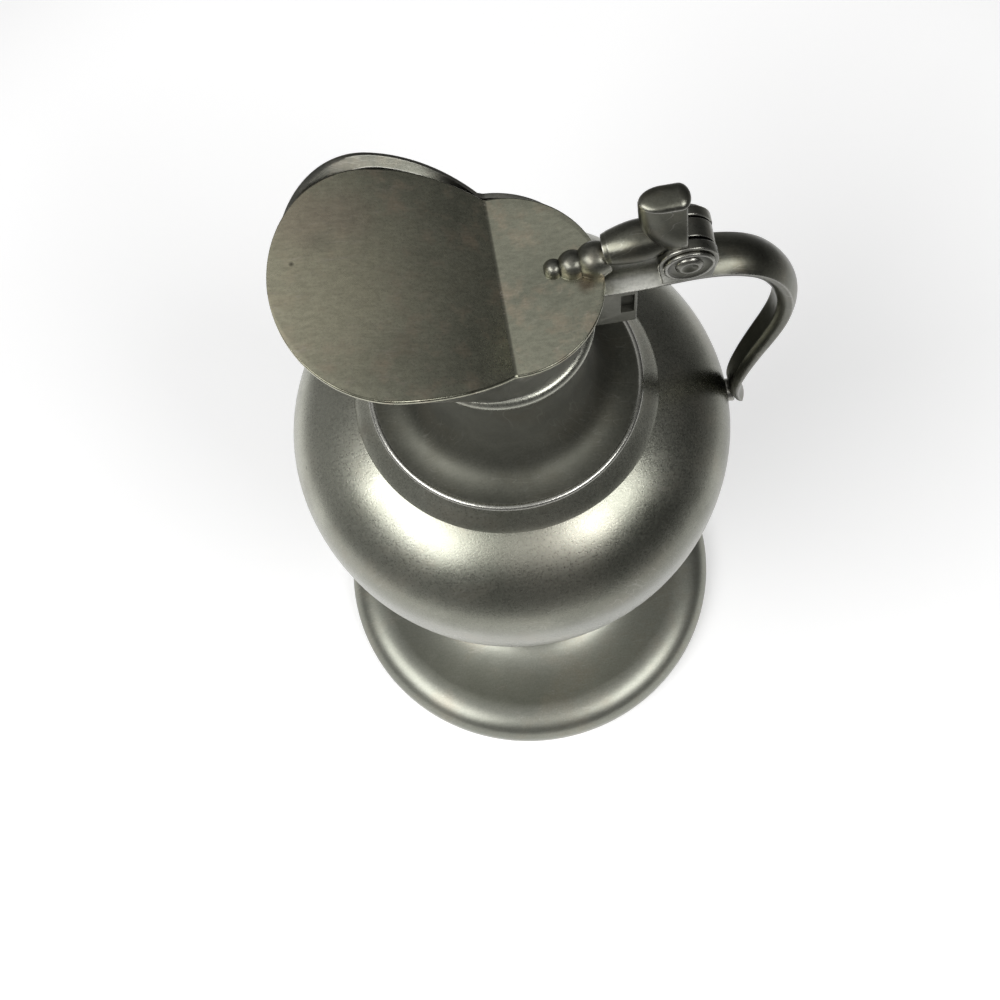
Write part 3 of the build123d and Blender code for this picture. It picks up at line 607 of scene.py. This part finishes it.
# an arc through three points for each lobe, gone round the axis; the flare falls off with e to the minus height
def strapPoints():
    pieces, x, start = [], 0.0, 0.0
    for length, crest, groove in zip(strap["lengths"], strap["crests"], strap["grooves"]):
        arc = arcThrough((x, start), (x + strap["crestShare"] * length, crest), (x + length, groove), 22)
        pieces.append(arc[1:])
        x, start = x + length, groove
    line = np.vstack(pieces + [run((x, start), (x + strap["tail"][0], start + strap["tail"][1]), 3)[1:]])
    points = climbing(line, (strap["tip"], 0.0, lid["top"]), strap["slope"], 96)
    rise = np.maximum(points[..., 2] - lid["top"], 0)
    spread = strap["flare"] * np.exp(-rise / strap["flareHeight"])
    lift = np.where(points[..., 2] < lid["top"] + 0.02, -strap["sunk"], 0)
    return np.stack([points[..., 0] - 0.5 * spread, points[..., 1] + np.sign(points[..., 1]) * spread,
                     np.maximum(points[..., 2], lid["top"]) + lift], axis=-1)


finishPiece(gridMesh("lidStrap", strapPoints(), caps=True), "lid", pewterStrap, ["lid_strap"])


# arm: a swelling form that climbs from the strap to the knuckle
arm = dict(start=(25.83, 0.4, 216.2), slope=13.0, groove=3.5, lead=(-1.2, -0.25), leadFall=0.12,
           knots=((0, 3.9), (6.08, 4.7), (11.34, 4.3), (13.5, 4.3)))


# a smooth curve through the knots, led in by a straight run, gone round the axis and pushed clear of the hinge
def armPoints():
    side = curveThrough(arm["knots"], 60)
    lead = run((arm["lead"][0], arm["groove"]), (arm["lead"][1], arm["knots"][0][1] - arm["leadFall"]), 5)
    line = np.vstack([lead, side])
    return clearOfHinge(climbing(line, arm["start"], arm["slope"], 96))


finishPiece(gridMesh("lidArm", armPoints(), caps=True), "lid", pewterCast, ["lid_arm"])


# thumb knob: a wedge with a flat back and an oval nose, under a pillow-shaped cap that stands a little proud
knob = dict(back=41.6, aside=0.4, soft=0.45,
            levels=((4.7, 0.3, 6.4, 4.9), (8.2, 0.4, 8.6, 5.5), (13.6, 3.6, 9.8, 4.1), (19.4, 6.0, 10.1, 2.6)),
            leastStraight=0.05, square=7.0,
            cap=dict(length=11.0, width=6.4, straight=3.6, swell=2.3, overhang=1.0, height=2.07, square=2.0,
                     seam=((0.02, 0.955), (0.10, 0.985), (0.22, 1.0)), arc=(0.16, 1.48)))


# level outlines, one row each: half an oval for the nose, straight sides, and a back that is a squarish oval
def knobRows(height, straight, length, half, swell, square, shift):
    height, straight, length, half, swell, square, shift = (
        np.atleast_1d(v).astype(float)[:, None] for v in (height, straight, length, half, swell, square, shift))
    nose = np.linspace(math.pi / 2, 3 * math.pi / 2, 44)[None, :]
    share = np.linspace(0, 1, 8)[None, 1:-1]
    back = np.linspace(-math.pi / 2, math.pi / 2, 36)[None, :]
    power = 2 / square
    x = np.hstack([-straight + (length - straight) * np.cos(nose), -straight * (1 - share),
                   swell * np.abs(np.cos(back)) ** power, -straight * share])
    y = np.hstack([half * np.sin(nose), -half + 0 * share,
                   half * np.sign(np.sin(back)) * np.abs(np.sin(back)) ** power, half + 0 * share])
    z = hinge["z"] + height + 0 * x
    return np.stack([knob["back"] + shift + x, knob["aside"] + y, z], axis=-1)


# the wedge's sizes are a smooth curve through its levels; the cap rises with the sine and shrinks with the cosine
def knobPoints():
    soft, cap = knob["soft"], knob["cap"]
    z, straight, length, half = curveThrough(knob["levels"], 44).T
    same = np.ones(len(z))
    wedge = knobRows(z, np.maximum(straight - soft, knob["leastStraight"]), length - soft, half, soft * same,
                     knob["square"] * same, -soft * same)
    base = knob["levels"][-1][0]
    seamRise, seamSize = np.array(cap["seam"]).T
    a = np.linspace(*cap["arc"], 16)
    rise = np.concatenate([seamRise, seamRise[-1] + (cap["height"] - seamRise[-1]) * np.sin(a)])
    size = np.concatenate([seamSize, np.cos(a)])
    middle = (cap["straight"] - cap["swell"]) / 2
    pillow = knobRows(base + rise, cap["straight"] * size, (cap["length"] - cap["swell"]) * size,
                      cap["width"] / 2 * size, cap["swell"] * size, np.full(len(size), cap["square"]),
                      middle * (size - 1) + cap["overhang"] - cap["swell"])
    return clearOfHinge(np.vstack([wedge, pillow]))


finishPiece(gridMesh("thumbKnob", knobPoints(), caps=True), "lid", pewterCast, ["thumbpiece"])
print("lid, strap, arm and thumb knob made")


# anything turned about the hinge's own line: every point of the outline (radius, distance along) goes round
def hingeTurned(name, line, turns=144, caps=False):
    a = np.linspace(0, 2 * math.pi, turns, endpoint=False)[None, :]
    r, y = line[:, :1], line[:, 1:] + 0 * a
    points = np.stack([hinge["x"] + r * np.cos(a), y, hinge["z"] + r * np.sin(a)], axis=-1)
    return gridMesh(name, points, wrapRows=not caps, caps=caps)


nearEnd, farEnd = knuckleMiddle - hinge["knuckleWidth"] / 2, knuckleMiddle + hinge["knuckleWidth"] / 2
knuckleLine = np.array([(hinge["bore"], nearEnd), (hinge["knuckle"], nearEnd), (hinge["knuckle"], farEnd),
                        (hinge["bore"], farEnd)])
finishPiece(hingeTurned("lidKnuckle", softCorners(knuckleLine, hinge["corner"])), "lid", pewterCast,
            ["lid_knuckle"])


# ear: a round eye whose two sides run straight down to a foot, with rounded edges
def earPoints(side):
    reach = math.hypot(hinge["footHalf"], hinge["footDrop"])
    tangent = math.atan2(-hinge["footDrop"], hinge["footHalf"]) + math.acos(hinge["radius"] / reach)
    a = np.linspace(tangent, math.pi - tangent, 90)
    eye = hinge["radius"] * np.stack([np.cos(a), np.sin(a)], axis=1)
    left, right = (-hinge["footHalf"], -hinge["footDrop"]), (hinge["footHalf"], -hinge["footDrop"])
    outline = np.vstack([eye, run(eye[-1], left, 10)[1:], run(left, right, 14)[1:], run(right, eye[0], 10)[1:-1]])
    t = np.linspace(0, math.pi / 2, 6)
    edge, half = hinge["earEdge"], hinge["ear"] / 2
    shrink = np.concatenate([[0.5, 0.8], 1 - edge / hinge["radius"] * (1 - np.sin(t))])
    out = np.concatenate([[half, half], half - edge * (1 - np.cos(t))])
    shrink, out = np.concatenate([shrink, shrink[::-1]]), np.concatenate([out, -out[::-1]])
    middle = side * (hinge["width"] - hinge["ear"]) / 2
    across, up = outline[None, :, 0], outline[None, :, 1]
    return np.stack([hinge["x"] + across * shrink[:, None], middle + out[:, None] + 0 * across,
                     hinge["z"] + up * shrink[:, None]], axis=-1)


# washer: a dished ring with a raised rim, and the pin: two riveted heads, each dimpled by the punch
pin = dict(radius=2.0, head=3.1, headHeight=0.8, dimple=2.0, dimpleDepth=0.6)
washer = dict(radius=5.7, rim=0.9, height=0.9, floor=0.35, corner=0.25)


# outline, as radius and distance along: a level floor, and an arc through three points for the rim
def washerLine(side):
    w, start = washer, hinge["width"] / 2
    top = start + w["height"]
    rim = arcThrough((w["radius"], top - w["floor"]), (w["radius"] - w["rim"] / 2, top),
                     (w["radius"] - w["rim"], top - w["floor"] / 2), 14)
    line = np.vstack([[(pin["radius"], start), (w["radius"], start)], rim,
                      [(pin["head"] + w["floor"], start + w["floor"]), (pin["radius"], start + w["floor"])]])
    return softCorners(line, w["corner"]) * (1, side)


# outline in short straight steps: along the pin, up the head's softened rim and down into the dimple, then mirrored
def pinLine():
    seat = hinge["width"] / 2 + washer["floor"]
    end = seat + pin["headHeight"]
    bottom = end - pin["dimpleDepth"]
    out = np.array([
        (pin["radius"], 0.0), (pin["radius"], seat), (pin["head"], seat), (pin["head"] - 0.15, seat + 0.35),
        (pin["dimple"] + 0.35, end - 0.05), (pin["dimple"], end), (pin["dimple"] - 0.3, end - 0.12),
        (0.9, bottom + 0.08), (0.1, bottom)])
    return np.vstack([out[::-1], out[1:] * (1, -1)])


for side, word in ((-1, "Near"), (1, "Far")):
    finishPiece(gridMesh("hingeEar" + word, earPoints(side), caps=True), "pitcher", pewterCast,
                ["hinge_ear_" + word.lower()])
    finishPiece(hingeTurned("pinWasher" + word, washerLine(side)), "pitcher", pewterCast,
                ["pin_washer_" + word.lower()])
finishPiece(hingeTurned("hingePin", pinLine(), caps=True), "pitcher", pewterCast, ["hinge_pin"])
print("hinge made")


# neck: a cove and a waist below the bead
# beak: a wall that grows straight from the neck to the rim, far in front and a little behind
# in front the rim is thick: a flat top, and a slope inside it that runs down to a soft ledge

neck = dict(radius=20.6, rim=22.4, waist=186.0, start=191.5, wall=1.9, coveIn=1.8, coveUp=1.0, coveRise=8.1)
beak = dict(overSide=2.2, overTip=-1.8, aside=1.3, base=0.5, bulge=0.35, rimGap=0.1, lip=0.5, flat=1.5, ledge=2.4,
            ledgeFall=1.9, ledgePull=(0.2, 0.6), under=4.4)


# plan radius of the rim: where a ray from the neck's axis meets the oval of the shield, in front of the middle
def rimRadius(angle):
    side = lid["halfWidth"] + beak["overSide"]
    front = lid["front"] + beak["overTip"]
    back = lid["shieldCentre"] / math.sqrt(1 - (neck["rim"] / side) ** 2)
    c, s = np.cos(angle), np.sin(angle)

    def meet(length):
        p = (c / length) ** 2 + (s / side) ** 2
        q = -2 * lid["shieldCentre"] * c / length**2
        d = (lid["shieldCentre"] / length) ** 2 - 1
        return (-q + np.sqrt(np.maximum(q * q - 4 * p * d, 0))) / (2 * p)

    near = meet(back)
    shield = np.where(near * c <= lid["shieldCentre"], near, meet(front))
    return np.where(c > 0, shield, neck["rim"])


# outline: a cubic curve from the ring's crest to the waist, straight up from there, and the same line moved inwards
def neckLine():
    coveLow = (ring["crestRadius"] - 0.7 * ring["bead"], ring["crest"] + 0.1)
    cove = pulledCurve(coveLow, (neck["radius"] + neck["coveIn"], ring["crest"] + neck["coveUp"]),
                       (neck["radius"], ring["crest"] + neck["coveRise"]), (neck["radius"], neck["waist"]), 90)
    out = np.vstack([run((coveLow[0], ring["crest"] - 0.6), coveLow, 3), cove[1:],
                     run((neck["radius"], neck["waist"]), (neck["radius"], neck["start"]), 6)[1:]])
    return np.vstack([out, (out - (neck["wall"], 0))[::-1]])


# the wall's radius goes from the neck's to the rim's by the share of height, with a parabola's bulge in front
# one column per angle: up outside, over the lip, down the slope and round the ledge, then down inside
def beakPoints():
    angle = np.linspace(-math.pi, math.pi, 320, endpoint=False)[None, :]
    c = np.maximum(np.cos(angle), 0)
    rim = rimRadius(angle)
    rimRise = lidRise(np.minimum(-rim * np.cos(angle), lid["kink"]))
    rimZ = lid["top"] - lid["thick"] - lid["gap"] - beak["rimGap"] + rimRise
    base = neck["radius"] + beak["base"] * np.sqrt(c)

    def wallRadius(z):
        share = (z - neck["start"]) / (rimZ - neck["start"])
        return base + (rim - base) * (share + beak["bulge"] * share * (1 - share) * c)

    lip, wall, front = beak["lip"], neck["wall"], np.clip(2 * c, 0, 1)
    upZ = neck["start"] + (rimZ - lip - neck["start"]) * np.linspace(0, 1, 56)[:, None]
    upR = wallRadius(upZ)
    t = np.linspace(0, math.pi / 2, 6)[1:, None]
    topR, topZ = upR[-1:] - lip * (1 - np.cos(t)), rimZ - lip * (1 - np.sin(t))
    slope = np.linspace(0, 1, 9)[:, None]
    ledge = wall + beak["ledge"] * front
    inR = rim - beak["flat"] - (ledge - beak["flat"]) * slope
    inZ = rimZ - beak["ledgeFall"] * slope
    underZ = rimZ - beak["under"]
    t = np.linspace(0, 1, 7)[1:, None]
    first, pull, last = (1 - t) ** 2, 2 * t * (1 - t), t**2
    backR = first * inR[-1:] + pull * (inR[-1:] - beak["ledgePull"][0]) + last * (wallRadius(underZ) - wall)
    backZ = first * inZ[-1:] + pull * (inZ[-1:] - beak["ledgePull"][1]) + last * underZ
    downZ = underZ + (neck["start"] - underZ) * np.linspace(0, 1, 50)[1:, None]
    r = np.vstack([upR, topR, inR, backR, wallRadius(downZ) - wall])
    z = np.vstack([upZ, topZ, inZ, backZ, downZ])
    reach = np.clip((z - neck["start"]) / (rimZ - neck["start"]), 0, 1)
    return np.stack([-r * np.cos(angle), r * np.sin(angle) + beak["aside"] * c * reach, z], axis=-1)


finishPiece(turnedPiece("neckWall", neckLine()), "pitcher", pewterNeck, ["neck"])
finishPiece(gridMesh("beakWall", beakPoints(), wrapRows=True), "pitcher", pewterBeak, ["beak"])

bead = dict(height=191.4, half=2.1, reach=1.7, topReach=0.15, sunk=0.6, corner=0.4)
low, high, back = bead["height"] - bead["half"], bead["height"] + bead["half"], neck["radius"] - bead["sunk"]
beadLine = np.vstack([arcThrough((neck["radius"], low), (neck["radius"] + bead["reach"], bead["height"]),
                                 (neck["radius"] + bead["topReach"], high), 30),
                      run((back, high - bead["corner"]), (back, low + bead["corner"]), 3)])
finishPiece(turnedPiece("neckBead", beadLine), "pitcher", pewterBody, ["neck_bead"])
print("neck, beak and bead made")


# handle: a strap carried along a curve, flat inside and domed outside, ending in a small outward flick

handle = dict(
    path=((20.0, 205.0), (34.0, 205.0), (47.0, 205.8), (58.4, 201.6), (65.4, 191.0), (67.3, 176.0),
          (63.4, 158.0), (59.4, 141.0), (59.0, 129.0), (61.0, 123.2)),
    width=((0, 10.6), (0.3, 10.6), (1, 7.0)),
    thick=((0, 4.2), (0.12, 4.4), (0.22, 5.8), (0.36, 6.0), (0.5, 5.2), (0.85, 3.8), (1, 2.6)),
    flat=0.58, shoulder=0.12, cornerOut=0.75, cornerUp=0.3, groove=7.0, tip=0.02)


# the parabola through three points at u = 0, a half and 1
def throughThree(p0, p1, p2, u):
    return p0 * (1 - u) * (1 - 2 * u) + p1 * 4 * u * (1 - u) + p2 * u * (2 * u - 1)


# sections square to the path: flat inside, parabolas for the two corners and the dome; toward the tip both sizes
# shrink by the root of one less the square of the way into it, and the top is pushed out of the hinge's groove
def handlePoints():
    line = curveThrough(handle["path"], 260)
    share = np.linspace(0, 1, len(line))
    tangent = np.gradient(line, axis=0)
    tangent /= np.linalg.norm(tangent, axis=1)[:, None]
    normal = np.stack([-tangent[:, 1], tangent[:, 0]], axis=1)
    end = np.clip((share - 1 + handle["tip"]) / handle["tip"], 0, 0.995)
    tip = np.sqrt(1 - end**2)
    half = (np.interp(share, *np.array(handle["width"]).T) / 2 * tip)[:, None]
    thick = (np.interp(share, *np.array(handle["thick"]).T) * tip)[:, None]
    flat, low, high, shoulder = handle["flat"] * half, -thick / 2, thick / 2, handle["shoulder"] * thick
    corner, cornerUp = flat + handle["cornerOut"] * (half - flat), low + handle["cornerUp"] * thick
    u = np.linspace(0, 1, 15)[None, :-1]
    dome = np.linspace(0, 1, 41)[None, :-1]
    side = np.hstack([-flat + 2 * flat * u, throughThree(flat, corner, half, u),
                      throughThree(half, 0 * half, -half, dome), throughThree(-half, -corner, -flat, u)])
    up = np.hstack([low + 0 * u, throughThree(low, cornerUp, shoulder, u),
                    throughThree(shoulder, high, shoulder, dome), throughThree(shoulder, cornerUp, low, u)])
    dx = line[:, :1] + normal[:, :1] * up - hinge["x"]
    dz = line[:, 1:] + normal[:, 1:] * up - hinge["z"]
    push = np.maximum(handle["groove"] / np.hypot(dx, dz), 1)
    return np.stack([hinge["x"] + dx * push, side, hinge["z"] + dz * push], axis=-1)


finishPiece(gridMesh("handleStrap", handlePoints(), caps=True), "pitcher", pewterCast, ["handle"])


# a cast block of the frame with its edges rounded off: its triangles are joined up, then bevelled
def softBlock(name, source, width):
    mesh = nodes[source].data.copy()
    mesh.name = name
    work = bmesh.new()
    work.from_mesh(mesh)
    bmesh.ops.remove_doubles(work, verts=work.verts, dist=2e-6)
    bmesh.ops.dissolve_limit(work, angle_limit=math.radians(1.5), verts=work.verts, edges=work.edges)
    work.to_mesh(mesh)
    work.free()
    thing = newObject(name, mesh)
    bevel = thing.modifiers.new("softEdges", "BEVEL")
    bevel.width, bevel.segments, bevel.limit_method, bevel.angle_limit = width * mm, 3, "ANGLE", math.radians(35)
    finished = bpy.data.meshes.new_from_object(thing.evaluated_get(bpy.context.evaluated_depsgraph_get()))
    thing.modifiers.clear()
    thing.data = finished
    return thing


finishPiece(softBlock("handleBracket", "handle_bracket", 0.35), "pitcher", pewterNeck,
            ["handle_bracket"])
finishPiece(softBlock("handlePad", "handle_pad", 0.2), "pitcher", pewterCast, ["handle_pad"])
print("handle, bracket and pad made")


# floor, light and camera

floorLook = dict(size=12.0, near=0.94, far=0.28, nearEdge=0.24, farEdge=0.50, glow=0.28)
skyLook = ((0.0, 0.28), (0.18, 0.22), (0.42, 0.16), (0.62, 0.26), (0.80, 0.50), (1.0, 0.68))
skySide = ((0.0, 1.0), (0.30, 0.80), (0.62, 0.42), (1.0, 0.32))  # the room is darker to the right
skyStrength = 1.2
lampLook = dict(
    left=dict(turn=-153, climb=42, away=1.6, size=(1.35, 0.70), strength=5.4),
    middle=dict(turn=-92, climb=47, away=1.6, size=(1.20, 0.50), strength=0.6),
    right=dict(turn=-44, climb=46, away=1.6, size=(0.84, 0.54), strength=6.3),
)
target = Vector((0.0, 0.0, 0.14))  # where the lamps point
view = dict(lens=64.8, sensor=36.0, farthest=50, place=(-0.00672, -0.1750, 0.5627),
            right=(0.98660, -0.15439, -0.0533), up=(0.16331, 0.92962, 0.3305))  # fitted to the photograph

# floor: white by the object, its colour painted darker away from it as a pool of light, and it glows faintly for the
# camera and in mirrors only
mesh = bpy.data.meshes.new("floor")
h = floorLook["size"] / 2
mesh.from_pydata([(-h, -h, 0), (h, -h, 0), (h, h, 0), (-h, h, 0)], [], [(0, 1, 2, 3)])
floor = newObject("floor", mesh)
paper = bpy.data.materials.new("paper")
paper.use_nodes = True
tree = paper.node_tree
paperShader = tree.nodes["Principled BSDF"]
paperShader.inputs["Roughness"].default_value = 0.9
paperShader.inputs["Specular IOR Level"].default_value = 0.0
paperShader.inputs["Emission Color"].default_value = (1, 1, 1, 1)
spot = addNode(tree, "ShaderNodeVectorMath", operation="LENGTH")
tree.links.new(addNode(tree, "ShaderNodeTexCoord").outputs["Object"], spot.inputs[0])
fade = addNode(tree, "ShaderNodeMapRange", interpolation_type="SMOOTHSTEP")
tree.links.new(spot.outputs["Value"], fade.inputs["Value"])
for key, value in (("From Min", "nearEdge"), ("From Max", "farEdge"), ("To Min", "near"), ("To Max", "far")):
    fade.inputs[key].default_value = floorLook[value]
tree.links.new(fade.outputs["Result"], paperShader.inputs["Base Color"])
rays = addNode(tree, "ShaderNodeLightPath")
seen = mathOf(tree, "ADD", rays.outputs["Is Camera Ray"], rays.outputs["Is Glossy Ray"], clamp=True)
seen = mathOf(tree, "ADD", seen, rays.outputs["Is Transmission Ray"], clamp=True)
glow = mathOf(tree, "MULTIPLY", seen, fade.outputs["Result"])
glow = mathOf(tree, "MULTIPLY", glow, floorLook["glow"])
tree.links.new(glow, paperShader.inputs["Emission Strength"])
mesh.materials.append(paper)

world = bpy.data.worlds.new("studio")
world.use_nodes = True
tree = world.node_tree
background = tree.nodes["Background"]
split = addNode(tree, "ShaderNodeSeparateXYZ")
tree.links.new(addNode(tree, "ShaderNodeTexCoord").outputs["Generated"], split.inputs["Vector"])
sideways = mathOf(tree, "MULTIPLY_ADD", split.outputs["X"], 0.5, 0.5)
upShade = rampOf(tree, split.outputs["Z"], skyLook)
sideShade = rampOf(tree, sideways, skySide)
tree.links.new(mixOf(tree, 1.0, upShade, sideShade, "MULTIPLY"), background.inputs["Color"])
background.inputs["Strength"].default_value = skyStrength
bpy.context.scene.world = world

for name, look in lampLook.items():
    turn, climb = math.radians(look["turn"]), math.radians(look["climb"])
    way = Vector((math.cos(turn) * math.cos(climb), math.sin(turn) * math.cos(climb), math.sin(climb)))
    light = bpy.data.lights.new(name + "Softbox", "AREA")
    light.shape = "RECTANGLE"
    light.size, light.size_y = look["size"]
    light.energy = look["strength"] * math.pi * look["size"][0] * look["size"][1]
    lamp = newObject(name + "Softbox", light)
    lamp.location = target + way * look["away"]
    lamp.rotation_euler = way.to_track_quat("Z", "Y").to_euler()

camera = bpy.data.cameras.new("camera")
camera.lens, camera.sensor_width, camera.clip_end = view["lens"], view["sensor"], view["farthest"]
cameraObject = newObject("camera", camera)
rightWay, upWay = Vector(view["right"]), Vector(view["up"])
facing = Matrix((rightWay, upWay, rightWay.cross(upWay).normalized())).transposed().to_4x4()
cameraObject.matrix_world = Matrix.Translation(view["place"]) @ facing
bpy.context.scene.camera = cameraObject
bpy.context.scene.view_settings.view_transform = "Standard"
print("floor, light and camera set")
